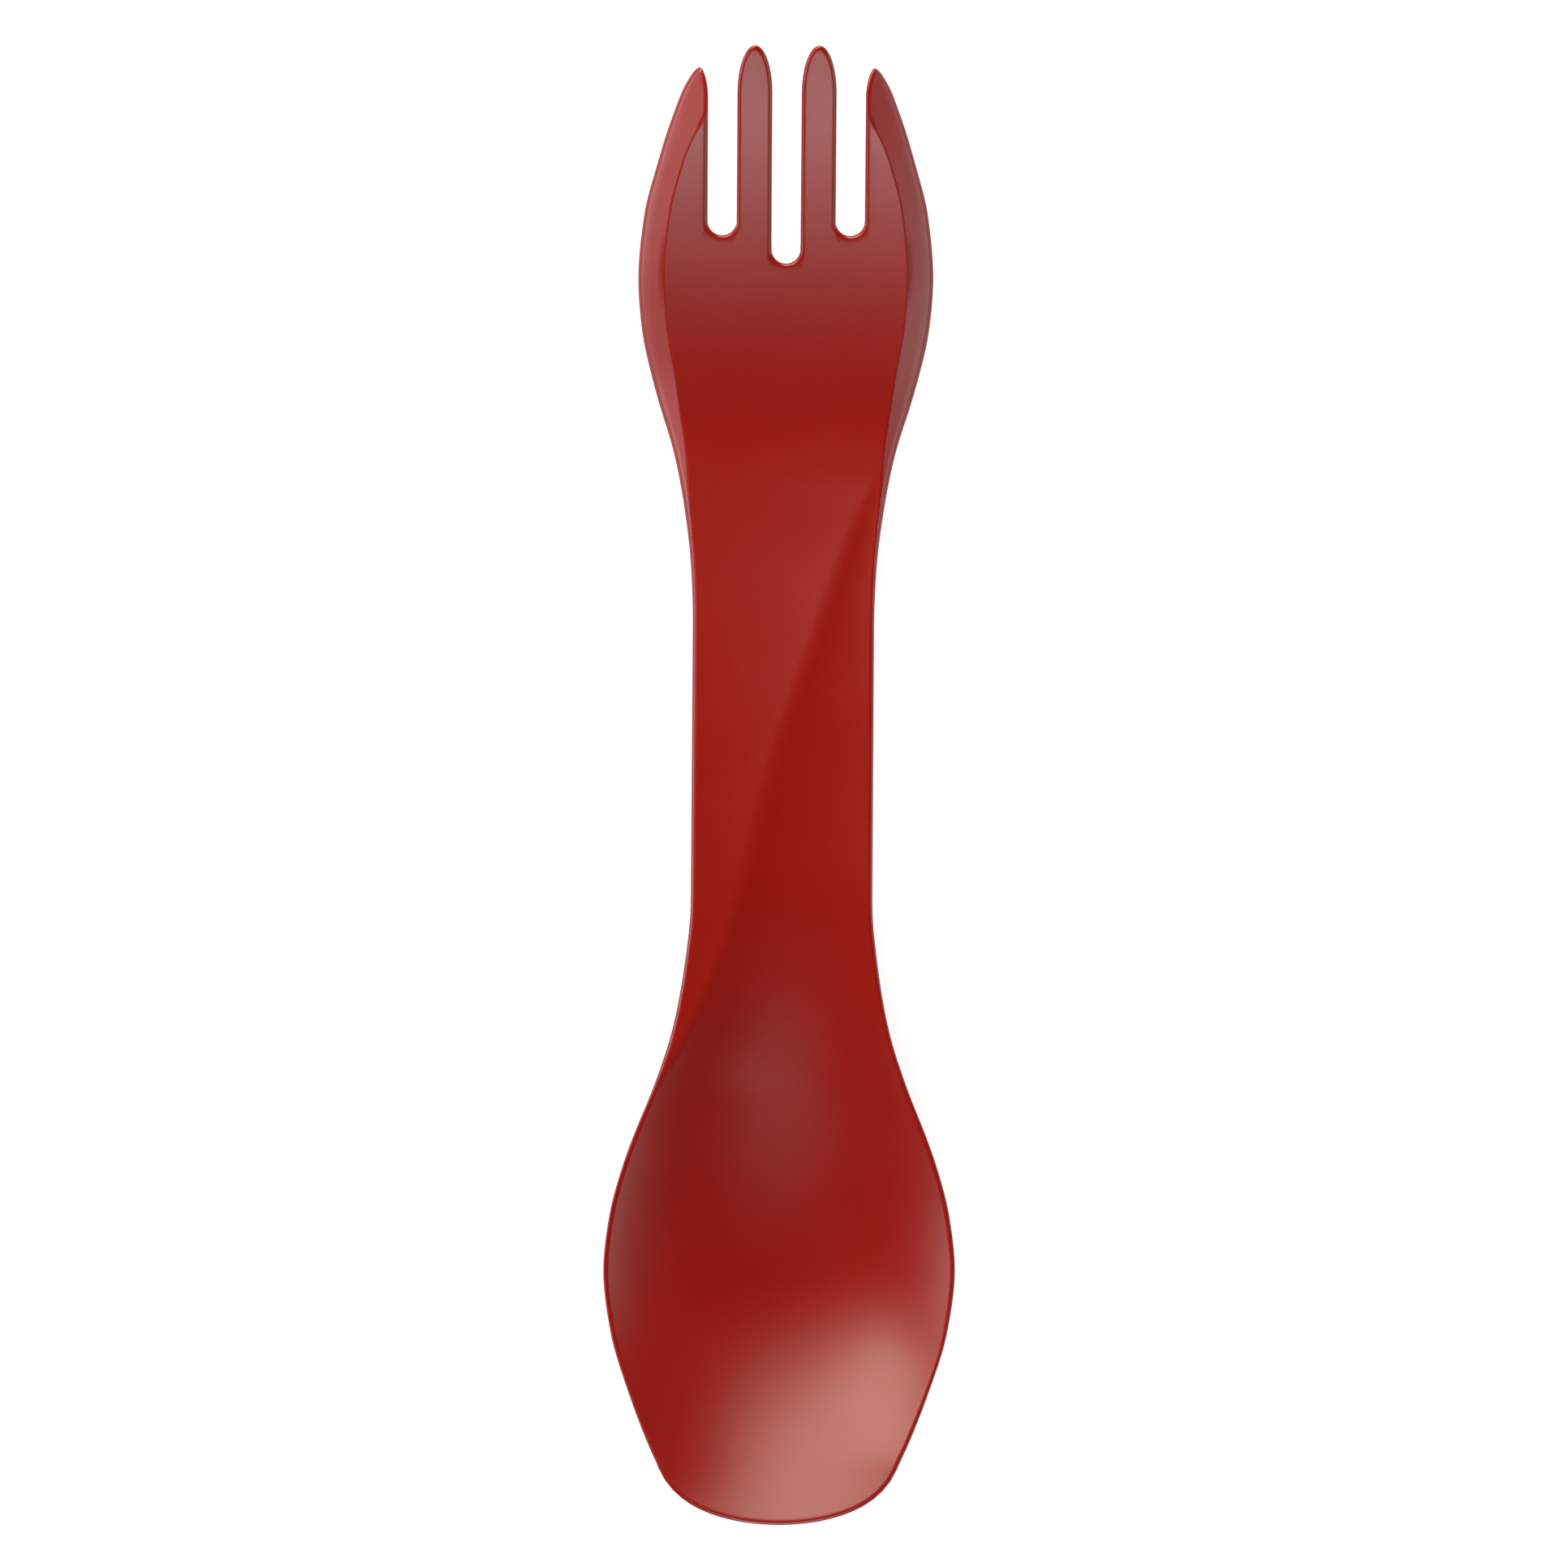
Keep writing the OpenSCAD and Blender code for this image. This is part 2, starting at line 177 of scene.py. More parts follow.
class SporkShape(bpy.types.PropertyGroup):
    """Sizes of the moulding"""

    length: length("Length", "From the spoon's lip to the middle tips", 160, 140, 180)
    wall: length("Wall", "Thickness away from the edges", 2.0, 1.6, 2.6)
    rim_wall: length("Rim wall", "Thickness at the edges", 1.5, 1.3, 1.8)
    edge_radius: length("Edge radius", "Radius that rounds every edge", 0.55, 0.3, 0.6)
    growth: length("Growth", "Way in from an edge over which the wall grows", 4, 2, 6)
    handle_width: length("Handle width", "Width at the waist", 19.7, 16, 24)
    handle_length: length("Handle length", "Length of the parallel part", 31, 20, 40)
    handle_offset: length("Handle offset", "Middle of the parallel part, from mid-length", 2.5, 0, 6)
    ridge_height: length("Ridge height", "Above a line from edge to edge", 0.35, 0.1, 0.8)
    ridge_blend: length("Ridge blend", "Height over which the ridge is rounded", 0.3, 0.1, 0.6)
    channel_angle: FloatProperty(
        name="Channel angle", description="Slope of the channel where it meets the ridge",
        default=math.radians(10), min=math.radians(6), max=math.radians(14), subtype="ANGLE",
    )
    spoon_width: length("Spoon width", "Spoon at its widest", 38.2, 32, 44)
    spoon_belly: length("Spoon belly", "From the lip to the spoon's widest place", 27.5, 24, 32)
    bowl_depth: length("Bowl depth", "Depth below the rim", 6.6, 5, 10)
    bowl_runout: length("Bowl run-out", "How far the bowl runs out into the handle", 7, 0, 15)
    lip_round: length("Lip rounding", "Length of the rounding at the lip's corners", 6, 3, 8)
    fork_width: length("Fork width", "Fork at its widest", 32.1, 29, 36)
    fork_belly: length("Fork belly", "From the middle tips to the fork's widest place", 25, 22, 28)
    tine_width: length("Tine width", "Width of the two middle tines", 3.8, 3.2, 4.2)
    slot_width: length("Slot width", "Width between the tines", 3.15, 2.6, 3.6)
    slot_depth: length("Slot depth", "Middle slot, from the middle tips", 23.3, 18, 26)
    slot_step: length("Slot step", "How much higher the outer slots end", 3, 1, 5)
    tine_step: length("Tine step", "How much shorter the outer tines are", 2.3, 1, 4)
    point: length("Point", "Pointed end of a middle tine", 5, 3, 7)
    outer_point: length("Outer point", "Pointed end of an outer tine", 3.2, 2, 5)
    point_thinning: length("Point thinning", "How much thinner a tip is", 0.4, 0, 0.6)
    thinning_length: length("Thinning length", "Way over which a tip thins", 2.5, 1, 5)
    band_width: length("Band width", "Bevelled band along the fork's sides", 2.85, 2, 3.5)
    band_angle: FloatProperty(
        name="Band angle", description="Fall of the bevelled band",
        default=math.radians(32), min=math.radians(20), max=math.radians(40), subtype="ANGLE",
    )
    panel_angle: FloatProperty(
        name="Panel angle", description="Slope of the panel where it meets the band",
        default=math.radians(4), min=math.radians(2), max=math.radians(10), subtype="ANGLE",
    )
    lip_height: length("Lip height", "Rim at the lip", 12.1, 8, 14)
    rim_height: length("Rim height", "Rim beside the bowl", 9.0, 8, 12)
    crown_height: length("Crown height", "Handle's crown", 9.2, 8, 13)
    low_offset: length("Low offset", "From mid-length to the fork's lowest place", 39, 36, 44)
    fork_height: length("Fork height", "Panel's border where the fork is lowest", 3.8, 2.5, 5.5)
    tip_height: length("Tip height", "Panel's border at the middle tips", 16.6, 9, 20)


class SporkFinish(bpy.types.PropertyGroup):
    """Colour and surface of the plastic"""

    colour: FloatVectorProperty(
        name="Colour", description="Colour of the plastic",
        default=(0.26, 0.004, 0.0008), min=0, max=1, size=3, subtype="COLOR",
    )
    roughness: FloatProperty(
        name="Roughness", description="Roughness of the satin moulding",
        default=0.34, min=0.1, max=1, subtype="FACTOR",
    )
    unevenness: FloatProperty(
        name="Unevenness", description="How much the sheen and the shade vary over the surface",
        default=0.08, min=0, max=0.3, subtype="FACTOR",
    )
    cloud_size: length("Cloud size", "Size of the places that differ in sheen and shade", 14, 5, 40)
    grain_size: length("Grain size", "Size of the moulding's fine grain", 0.4, 0.1, 1)
    grain_depth: length("Grain depth", "Depth of the fine grain", 0.003, 0, 0.02)
    polish: FloatProperty(
        name="Polish", description="How much smoother the handle and the bowl's back slope are",
        default=0.035, min=0, max=0.3, subtype="FACTOR",
    )
    speckle: FloatProperty(
        name="Speckle", description="How much the grain varies the shade",
        default=0.25, min=0, max=1, subtype="FACTOR",
    )


class SporkStudio(bpy.types.PropertyGroup):
    """Camera, floor and lamps"""

    camera_distance: FloatProperty(
        name="Camera distance", description="Height of the camera above the spork",
        default=2.0, min=0.5, max=2.4, unit="LENGTH",
    )
    frame_width: length("Frame width", "Width that the picture shows", 170.0, 120, 400)
    frame_right: length("Frame right", "Camera's way right of the spork's middle", 0.18, -20, 20)
    frame_up: length("Frame up", "Camera's way from the spork's middle to its tines", 0.22, -20, 20)
    lean: FloatProperty(
        name="Lean", description="How far the fork leans right in the picture",
        default=math.radians(0.39), min=-0.1, max=0.1, subtype="ANGLE",
    )
    key_power: lamp_power("Key power", "the wide softbox upper left", 5.1)
    front_power: lamp_power("Front power", "the softbox before the spoon", 1.95)
    left_power: lamp_power("Left power", "the low strip on the left", 1.2)
    back_power: lamp_power("Back power", "the low strip behind the tines", 1.0)
    right_power: lamp_power("Right power", "the low strip on the right", 0.95)
    sky: FloatProperty(
        name="Sky", description="Level of the even light from all round", default=0.02, min=0,
    )
    floor_colour: FloatVectorProperty(
        name="Floor colour", description="Colour of the floor and its upturned rim",
        default=(0.8, 0.8, 0.8), min=0, max=1, size=3, subtype="COLOR",
    )


# Nodes


class Wire:
    """A node's output that works in a sum: each operator adds its Math node."""

    def __init__(self, board, socket):
        self.board = board
        self.socket = socket

    def output(self, name):
        """Another output of the same node."""
        return Wire(self.board, self.socket.node.outputs[name])

    def _math(self, operation, first, second):
        """A Math node's result on two values or wires."""
        return self.board.add("ShaderNodeMath", {"operation": operation}, {0: first, 1: second})

    def __add__(self, other):
        return self._math("ADD", self, other)

    def __sub__(self, other):
        return self._math("SUBTRACT", self, other)

    def __rsub__(self, other):
        return self._math("SUBTRACT", other, self)

    def __mul__(self, other):
        return self._math("MULTIPLY", self, other)

    def __truediv__(self, other):
        return self._math("DIVIDE", self, other)

    def __pow__(self, other):
        return self._math("POWER", self, other)

    __radd__ = __add__
    __rmul__ = __mul__

    def least(self, other):
        """The lower of the two."""
        return self._math("MINIMUM", self, other)

    def most(self, other):
        """The higher of the two."""
        return self._math("MAXIMUM", self, other)


class Board:
    """A node tree that is built by adding nodes with their settings and inputs."""

    # Way from one node to the next in the node editor
    SPACING = 190

    def __init__(self, tree):
        self.tree = tree
        tree.nodes.clear()

    def add(self, kind, settings=None, inputs=None, output=0):
        """Adds a node, sets it, fills or links its inputs, and returns one output."""
        node = self.tree.nodes.new(kind)
        node.location = (self.SPACING * len(self.tree.nodes), 0)
        for name, value in (settings or {}).items():
            setattr(node, name, value)
        for name, value in (inputs or {}).items():
            for given in value if isinstance(value, list) else [value]:
                if isinstance(given, Wire):
                    self.tree.links.new(given.socket, node.inputs[name])
                else:
                    node.inputs[name].default_value = given
        return Wire(self, node.outputs[output]) if node.outputs else None


# Shape


def through(place, value, at):
    """Smooth curve through knots that never swings past them."""
    step = np.diff(place)
    secant = np.diff(value) / step
    before, after = secant[:-1], secant[1:]
    same_way = before * after > 0
    mean = 2 * before * after / np.where(same_way, before + after, 1)
    tangent = np.concatenate([secant[:1], np.where(same_way, mean, 0), secant[-1:]])
    knot = np.clip(np.searchsorted(place, at, side="right") - 1, 0, len(step) - 1)
    share = np.clip((at - place[knot]) / step[knot], 0, 1)
    slope = tangent[knot] * (1 - share) - tangent[knot + 1] * share
    return (
        value[knot] * (1 + 2 * share) * (1 - share) ** 2
        + value[knot + 1] * share ** 2 * (3 - 2 * share)
        + step[knot] * share * (1 - share) * slope
    )


class Curve:
    """Curve through knots, softened so that a reflection runs along it without a kink."""

    def __init__(self, knots, softening):
        place, value = np.array(knots).T
        self.at = np.linspace(place[0], place[-1], CURVE_SAMPLES)
        step = self.at[1] - self.at[0]
        reach = math.ceil(SOFTENING_REACH * softening / step)
        weight = np.exp(-0.5 * (np.arange(-reach, reach + 1) * step / softening) ** 2)
        drawn = np.pad(through(place, value, self.at), reach, "reflect", reflect_type="odd")
        self.value = np.convolve(drawn, weight / weight.sum(), "valid")

    def __call__(self, at):
        return np.interp(at, self.at, self.value)


def spread(shares, start, end):
    """Knots that run from one place and value to another by a table of shares."""
    return [
        (start[0] + share * (end[0] - start[0]), start[1] + rise * (end[1] - start[1]))
        for share, rise in shares
    ]


def mix(a, b, share):
    """The value that lies a share of the way from one to the other."""
    return a + (b - a) * share


def divided(count):
    """Shares of the lines that divide a stretch evenly."""
    return (np.arange(count) + 1) / (count + 1)


def blend_min(a, b, height):
    """The lower of two heights, with their crossing rounded over a height."""
    return np.minimum(a, b) - np.maximum(height - np.abs(a - b), 0) ** 2 / (4 * height)


def eased(share, power):
    """A power from 0 to 1 whose start is rounded."""
    start = START_SHARE ** power
    risen = (share ** 2 + START_SHARE ** 2) ** (power / 2) - start
    return risen / ((1 + START_SHARE ** 2) ** (power / 2) - start)


def hanging(start, end, share, depth):
    """Height, a share of the way across, of a curve that hangs this deep between two heights."""
    return mix(start, end, share) - 4 * depth * share * (1 - share)


def sag(angle, width):
    """Depth of a curve that hangs across a width and leaves its borders at an angle."""
    return math.tan(angle) * width / 4


def round_end(distance, run):
    """A quarter-round end's share of the full width: 0 at the end, 1 from its length on."""
    return np.sqrt(1 - (1 - np.clip(distance / run, 0, 1)) ** 2)


def side_gap(x, now, before):
    """Distance from a place to the nearer side of a strip, from its sides here and a probe on."""
    left, right = x - now[0], now[1] - x
    along = (left * (now[1] - before[1]) - right * (now[0] - before[0])) / PROBE
    return np.maximum(left * right, 0) / np.maximum(np.hypot(right - left, along), PROBE)


class Form:
    """The spork's outline, faces and sheet, worked out from its sizes."""

    def __init__(self, size):
        self.size = size
        self.tip = size.length / 2
        self.lip = -size.length / 2
        self.bowl = self.lip + size.spoon_belly
        self.handle_low = size.handle_offset - size.handle_length / 2
        self.handle_high = size.handle_offset + size.handle_length / 2
        self.slot_radius = size.slot_width / 2
        self.pitch = size.slot_width + size.tine_width
        self.base = self.tip - size.slot_depth - BEND_LENGTH
        belly = self.tip - size.fork_belly
        spoon, handle, fork = size.spoon_width / 2, size.handle_width / 2, size.fork_width / 2
        self.outline = Curve(
            spread(LIP_SHARES, (self.lip, 0), (self.bowl, spoon))
            + spread(SPOON_NECK_SHARES, (self.handle_low, handle), (self.bowl, spoon))[-2::-1]
            + spread(FORK_NECK_SHARES, (self.handle_high, handle), (belly, fork))
            + spread(TINES_SHARES, (belly, 0), (self.tip, fork))[1:],
            OUTLINE_SOFTENING,
        )
        self.band = Curve(
            spread(BAND_SHARES, (self.handle_high, 0), (self.tip, size.band_width)),
            OUTLINE_SOFTENING,
        )
        middle = size.handle_offset
        self.ridge = Curve(
            spread(RIDGE_SHARES, (middle, 0), (middle + size.handle_length, handle)),
            HEIGHT_SOFTENING,
        )
        low = (size.low_offset, size.fork_height)
        self.border = Curve(
            [(self.lip, size.lip_height), (self.bowl, size.rim_height)]
            + spread(FALL_SHARES, (self.handle_low, size.crown_height), low)
            + spread(RISE_SHARES, low, (self.tip, size.tip_height))[1:],
            HEIGHT_SOFTENING,
        )

    # Faces

    def half_width(self, y):
        """Half the width of the whole outline, with the lip's corners rounded."""
        return self.outline(y) * round_end(y - self.lip, self.size.lip_round)

    def band_width(self, y):
        """Width of the bevelled band, which only the fork has."""
        return np.where(y < self.handle_high, 0, self.band(y))

    def channel_depth(self, y, width):
        """Depth of the channel right of the ridge, which deepens into the bowl."""
        size = self.size
        front = np.clip((self.bowl - y) / size.spoon_belly, 0, 1)
        far = np.clip((y - self.bowl) / (self.handle_low + size.bowl_runout - self.bowl), 0, 1)
        share = (1 - eased(far, RUNOUT_POWER)) ** RUNOUT_EASE
        behind = mix(sag(size.channel_angle, width), size.bowl_depth, share)
        return np.where(y < self.bowl, size.bowl_depth * (1 - eased(front, BOWL_POWER)), behind)

    def face(self, x, y):
        """Height of the upper face, before its edges are rounded."""
        size = self.size
        band = self.band_width(y)
        inner = np.maximum(PROBE, self.half_width(y) - band)
        side = self.border(y)
        ridge_x = np.clip(self.ridge(y), -inner, inner)
        ridge_z = side + size.ridge_height * (1 - (ridge_x / inner) ** 2)
        panel_width, channel_width = inner + ridge_x, inner - ridge_x
        panel_span = np.maximum(panel_width, PROBE)
        panel = hanging(
            side, ridge_z, (x + inner) / panel_span, sag(size.panel_angle, panel_span)
        )
        channel_span = np.maximum(channel_width, PROBE)
        channel = hanging(
            ridge_z, side, (x - ridge_x) / channel_span, self.channel_depth(y, channel_span)
        )
        middle = np.where(
            panel_width < PROBE, channel,
            np.where(channel_width < PROBE, panel, blend_min(panel, channel, size.ridge_blend)),
        )
        bevel = side - (np.abs(x) - inner) * math.tan(size.band_angle)
        creased = blend_min(middle, bevel, size.ridge_blend * CREASE_BLEND_SHARE)
        return np.where(band <= 0, middle, creased)

    def steepness(self, x, y):
        """How much longer a plumb line through the wall is than the wall is thick."""
        reach = STEEPNESS_REACH
        across = (self.face(x + reach, y) - self.face(x - reach, y)) / (2 * reach)
        along = (self.face(x, y + reach) - self.face(x, y - reach)) / (2 * reach)
        return np.minimum(STEEPEST, np.sqrt(1 + across ** 2 + along ** 2))

    # Tines and slots

    def slot_x(self, slot):
        """Middle line of a slot."""
        return (slot - MIDDLE_SLOT) * self.pitch

    def slot_y(self, slot):
        """Middle of the round end of a slot."""
        rise = self.size.slot_step * abs(self.slot_x(slot)) / self.pitch
        return self.tip - self.size.slot_depth + self.slot_radius + rise

    def tine_end(self, tine):
        """Place of a tine's tip, and the length of its point."""
        if tine in OUTER_TINES:
            return self.tip - self.size.tine_step, self.size.outer_point
        return self.tip, self.size.point

    def tine_sides(self, tine, y):
        """Left and right side of a tine, narrowed towards its tip."""
        first, last = OUTER_TINES
        left = -self.half_width(y) if tine == first else self.slot_x(tine - 1) + self.slot_radius
        right = self.half_width(y) if tine == last else self.slot_x(tine) - self.slot_radius
        middle, width = (left + right) / 2, right - left
        tip, point = self.tine_end(tine)
        share = round_end(tip - y, point) / 2
        return middle - width * share, middle + width * share

    def tine_lines(self, tine, y):
        """Places of a tine's lines across it, one row for each place along it."""
        left, right = (side[:, None] for side in self.tine_sides(tine, y))
        width = right - left
        radius = np.minimum(self.size.edge_radius, width * ROUNDING_LIMIT)
        outer = tine in OUTER_TINES
        crease = self.band_width(y)[:, None] if outer else width * MIDDLE_CREASE_SHARE
        near = self.side_lines(radius, np.minimum(crease, width - 2 * radius))
        places = np.hstack([
            near,
            mix(near[:, -1:], width - radius, divided(PANEL_LINES)),
            width - radius * ROUNDING_SHARES[::-1],
        ])
        return right - places[:, ::-1] if tine == OUTER_TINES[1] else left + places

    # Sheet

    def side_lines(self, radius, crease):
        """Places of the lines from an edge over its rounding and the band to past the crease."""
        crease = np.maximum(CREASE_CLEARANCE * radius, crease)
        creases = crease + CREASE_OFFSETS * radius / self.size.edge_radius
        across_band = mix(radius, creases[:, :1], divided(BAND_LINES))
        return np.hstack([radius * ROUNDING_SHARES, across_band, creases])

    def body_lines(self, y):
        """Places of all lines across the handle and the spoon, one row for each place along."""
        half = self.half_width(y)[:, None]
        radius = np.minimum(self.size.edge_radius, half * ROUNDING_LIMIT)
        side = half - self.side_lines(radius, self.band_width(y)[:, None])
        fill = np.arange(SIDE_LINES, CENTRE + 1)
        inner = side[:, -1:] * (CENTRE - fill) / (CENTRE - SIDE_LINES + 1)
        right = np.hstack([side, inner])
        return np.hstack([-right, right[:, -2::-1]])

    def root(self):
        """Line through the feet of the tines and round the ends of the slots."""
        outer = self.slot_y(0)
        middle = self.slot_y(MIDDLE_SLOT)
        x, y = [], []
        for tine in range(TINE_COUNT):
            lines = self.tine_lines(tine, np.array([outer]))[0]
            x.append(lines)
            y.append(mix(middle, outer, np.minimum(1, np.abs(lines) / self.pitch)))
            if tine < TINE_COUNT - 1:
                turn = np.radians(180 - 180 * np.arange(1, SLOT_STRIPS) / SLOT_STRIPS)
                x.append(self.slot_x(tine) + self.slot_radius * np.cos(turn))
                y.append(self.slot_y(tine) - self.slot_radius * np.sin(turn))
        return np.hstack(x), np.hstack(y)

    def body_rows(self):
        """Places along the spork of the straight rows, from the lip to the base of the bend."""
        return np.hstack([
            self.lip + self.size.lip_round * (1 - np.cos(LIP_ANGLES)),
            np.linspace(self.lip + self.size.lip_round, self.bowl, BOWL_ROWS, endpoint=False),
            np.linspace(self.bowl, self.handle_low, SPOON_NECK_ROWS, endpoint=False),
            np.linspace(self.handle_low, self.handle_high, HANDLE_ROWS, endpoint=False),
            np.linspace(self.handle_high, self.base, FORK_NECK_ROWS),
        ])

    def bulge(self, x, y):
        """How far the outline bulges past a straight line from the base to the tines' feet."""
        foot, start = self.slot_y(0), self.pitch + self.slot_radius
        along = (y - self.base) / (foot - self.base)
        straight = mix(self.half_width(self.base), self.half_width(foot), along)
        share = np.maximum(0, (np.abs(x) - start) / (straight - start))
        return np.sign(x) * (self.half_width(y) - straight) * share

    def slot_gap(self, x, y):
        """Distance from a place to the nearest slot."""
        gaps = []
        for slot in range(TINE_COUNT - 1):
            below = np.maximum(self.slot_y(slot) - y, 0)
            gaps.append(np.hypot(x - self.slot_x(slot), below) - self.slot_radius)
        return np.maximum(np.min(gaps, axis=0), 0)

    def sheet(self):
        """Corners of the flat sheet, its cells, and what the nodes need at each corner."""
        root_x, root_y = self.root()
        body = self._body_block(root_x, root_y)
        tines = [self._tine_block(tine, root_x, root_y) for tine in range(TINE_COUNT)]
        hole = np.full((len(tines[0][0]), SLOT_STRIPS - 1), np.nan)
        blocks = [block for tine in tines for block in (tine, (hole,) * len(tine))][:-1]
        above = (np.hstack(parts) for parts in zip(*blocks))
        x, y, gap, thinning = (np.vstack(parts) for parts in zip(body, above))

        row, column = np.mgrid[0:len(x) - 1, 0:STRIPS]
        filled = (row < len(body[0]) - 1) | (column % UNIT_STRIPS < TINE_STRIPS)
        corner = (row * LINES + column)[filled]
        cells = np.stack([corner, corner + 1, corner + LINES + 1, corner + LINES], axis=1)
        used, cells = np.unique(cells, return_inverse=True)
        x, y, gap, thinning = (field.ravel()[used] for field in (x, y, gap, thinning))
        fields = {
            "face": self.face(x, y), "steepness": self.steepness(x, y),
            "gap": gap, "thinning": thinning,
        }
        return np.stack([x, y, np.zeros_like(x)], axis=1), cells.reshape(-1, 4), fields

    def _body_block(self, root_x, root_y):
        """Places, gaps and thinning, which is none, of all rows up to the feet of the tines."""
        rows = self.body_rows()
        body_x = self.body_lines(rows)
        body_y = np.repeat(rows[:, None], LINES, axis=1)
        run_x, run_y = body_x[-1] - root_x, self.base - root_y
        near = self.size.edge_radius * ROUNDING_SHARES[::-1, None] / np.hypot(run_x, run_y)
        back = np.vstack([np.repeat(BEND_SHARES[:, None], LINES, axis=1), near])
        bend_x, bend_y = root_x + run_x * back, root_y + run_y * back
        x = np.vstack([body_x, bend_x + self.bulge(bend_x, bend_y)])
        y = np.vstack([body_y, bend_y])
        half, half_on = self.half_width(y), self.half_width(y - PROBE * np.sign(y - self.bowl))
        gap = np.minimum(side_gap(x, (-half, half), (-half_on, half_on)), self.slot_gap(x, y))
        return x, y, gap, np.zeros_like(x)

    def _tine_block(self, tine, root_x, root_y):
        """Places, gaps and thinning of one tine's rows above its foot."""
        size = self.size
        tip, point = self.tine_end(tine)
        lines = slice(tine * UNIT_STRIPS, tine * UNIT_STRIPS + TINE_STRIPS + 1)
        share = (np.arange(SHAFT_ROWS) + 1)[:, None] / SHAFT_ROWS
        shaft = mix(root_y[lines], tip - point, share)
        end = np.repeat(tip - point * (1 - np.sin(POINT_ANGLES))[:, None], TINE_STRIPS + 1, axis=1)
        y = np.vstack([shaft, end])
        x = np.stack(
            [self.tine_lines(tine, y[:, line])[:, line] for line in range(TINE_STRIPS + 1)], axis=1
        )
        gap = side_gap(x, self.tine_sides(tine, y), self.tine_sides(tine, y - PROBE))
        thinning = size.point_thinning * np.maximum(0, 1 - (tip - y) / size.thinning_length) ** 2
        return x, y, gap, thinning


def wall_heights(board, inputs):
    """Heights of the upper and of the lower face, with their edges rounded."""

    def field(name):
        return board.add("GeometryNodeInputNamedAttribute", {"data_type": "FLOAT"}, {"Name": name})

    gap, face = field("gap"), field("face")
    growth = (gap / inputs.output("Growth")).least(1)
    rim, wall = inputs.output("Rim wall"), inputs.output("Wall")
    thickness = rim + (wall - rim) * growth - field("thinning")
    radius = inputs.output("Edge radius").least(thickness * EDGE_FILL_SHARE)
    reach = (radius - gap).most(0)
    inward = radius - (radius * radius - reach * reach).most(0) ** 0.5
    return face - inward, face - thickness * field("steepness") + inward


def wall_nodes(size, material):
    """Node tree that raises the flat sheet to its faces and gives it a wall with round edges."""
    tree = bpy.data.node_groups.new("Spork wall", "GeometryNodeTree")
    tree.is_modifier = True
    add_input = tree.interface.new_socket
    add_input("Geometry", in_out="INPUT", socket_type="NodeSocketGeometry")
    add_input("Geometry", in_out="OUTPUT", socket_type="NodeSocketGeometry")
    given = {
        "Wall": size.wall, "Rim wall": size.rim_wall,
        "Edge radius": size.edge_radius, "Growth": size.growth,
    }
    for name in given:
        add_input(name, in_out="INPUT", socket_type="NodeSocketFloat").subtype = "DISTANCE"
    add_input("Material", in_out="INPUT", socket_type="NodeSocketMaterial")

    board = Board(tree)
    inputs = board.add("NodeGroupInput")
    upper, lower = wall_heights(board, inputs)
    place = board.add("ShaderNodeSeparateXYZ", inputs={0: board.add("GeometryNodeInputPosition")})

    def at_height(height):
        return board.add("ShaderNodeCombineXYZ", inputs={
            "X": place.output("X"), "Y": place.output("Y"), "Z": height,
        })

    sheet = inputs.output("Geometry")
    raised = board.add(
        "GeometryNodeExtrudeMesh", {"mode": "FACES"},
        {"Mesh": sheet, "Offset": (0, 0, 1), "Offset Scale": LIFT, "Individual": False},
    )
    height = board.add(
        "GeometryNodeSwitch", {"input_type": "FLOAT"},
        {"Switch": raised.output("Top"), "False": lower, "True": upper},
    )
    top = board.add(
        "GeometryNodeSetPosition", inputs={"Geometry": raised, "Position": at_height(height)}
    )
    turned = board.add("GeometryNodeFlipFaces", inputs={"Mesh": sheet})
    under = board.add(
        "GeometryNodeSetPosition", inputs={"Geometry": turned, "Position": at_height(lower)}
    )
    shell = board.add("GeometryNodeJoinGeometry", inputs={"Geometry": [top, under]})
    closed = board.add(
        "GeometryNodeMergeByDistance", inputs={"Geometry": shell, "Distance": JOIN_DISTANCE}
    )
    smooth = board.add("GeometryNodeSetShadeSmooth", inputs={"Geometry": closed})
    real = board.add("GeometryNodeRealizeInstances", inputs={"Geometry": smooth})
    finished = board.add(
        "GeometryNodeSetMaterial",
        inputs={"Geometry": real, "Material": inputs.output("Material")},
    )
    board.add("NodeGroupOutput", inputs={"Geometry": finished})
    return tree, {**given, "Material": material}


# Materials

# How strongly the plastic bends light, which sets the strength of its reflections
PLASTIC_IOR = 1.58
# Noise of the grain and of the clouds: its levels, how much the finer ones count, and its mean
NOISE_DETAIL = 3.0
GRAIN_FINENESS = 0.7
CLOUD_FINENESS = 0.5
NOISE_MEAN = 0.5
# Sockets of a Mix node that mixes colours: its factor, its two colours and its result
MIX_FACTOR, MIX_FIRST, MIX_SECOND, MIX_RESULT = 0, 6, 7, 2
# Where the polish starts and ends along the spork, each over a smooth step
POLISH_START = (32 * MM, 4 * MM)
POLISH_END = (-42 * MM, -66 * MM)
# The floor: share of its colour that takes light, and its white in the picture and in reflections
PAPER_SHARE = 0.4
FLOOR_GLOW = 0.85
FLOOR_MIRRORED = 0.5


